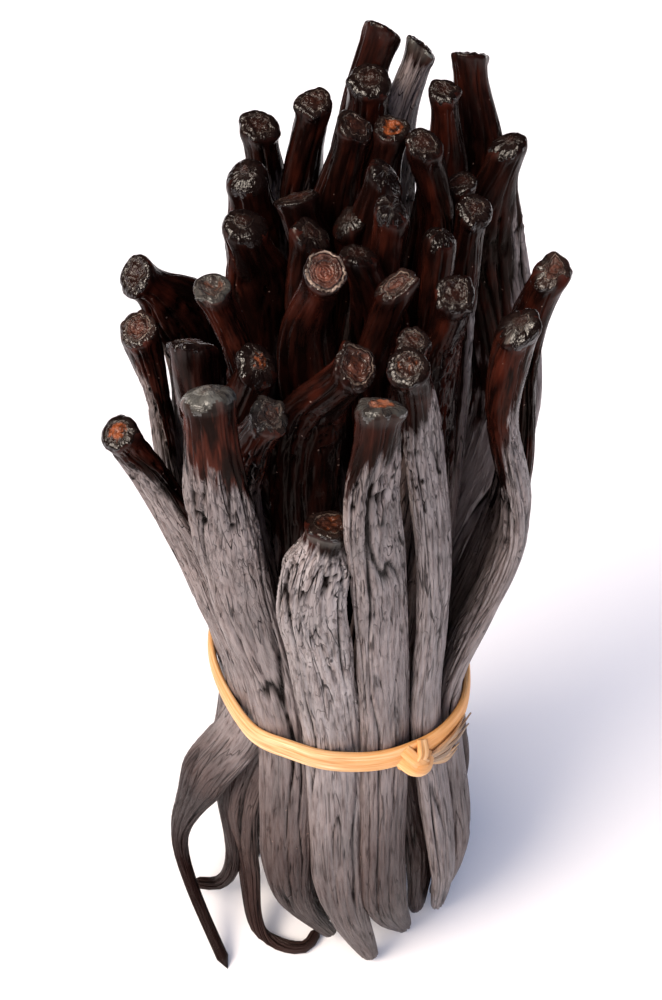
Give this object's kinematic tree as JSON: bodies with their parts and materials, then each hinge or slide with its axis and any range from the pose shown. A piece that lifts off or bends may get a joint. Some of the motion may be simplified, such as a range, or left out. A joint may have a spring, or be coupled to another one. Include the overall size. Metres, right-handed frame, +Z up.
{
  "type": "vanilla pod bundle",
  "caption": "Bundle of dark cured vanilla pods standing on their tail ends, tied round the waist with a knotted strand of raffia.",
  "frame": {"origin": "centre of the bounding box, on the table that the tail ends stand on", "axes": "+Z up along the bundle, -Y to the front, where the low pods and the knot are, +X to the right"},
  "size_m": [0.0638, 0.0657, 0.1661],
  "materials": {
    "cured_pod": "oily satin, wrinkled lengthways",
    "raffia": "dry, fibrous, slightly shiny"
  },
  "bodies": {
    "root": {"pods": "cured_pod", "tie": "raffia"}
  },
  "joints": []
}
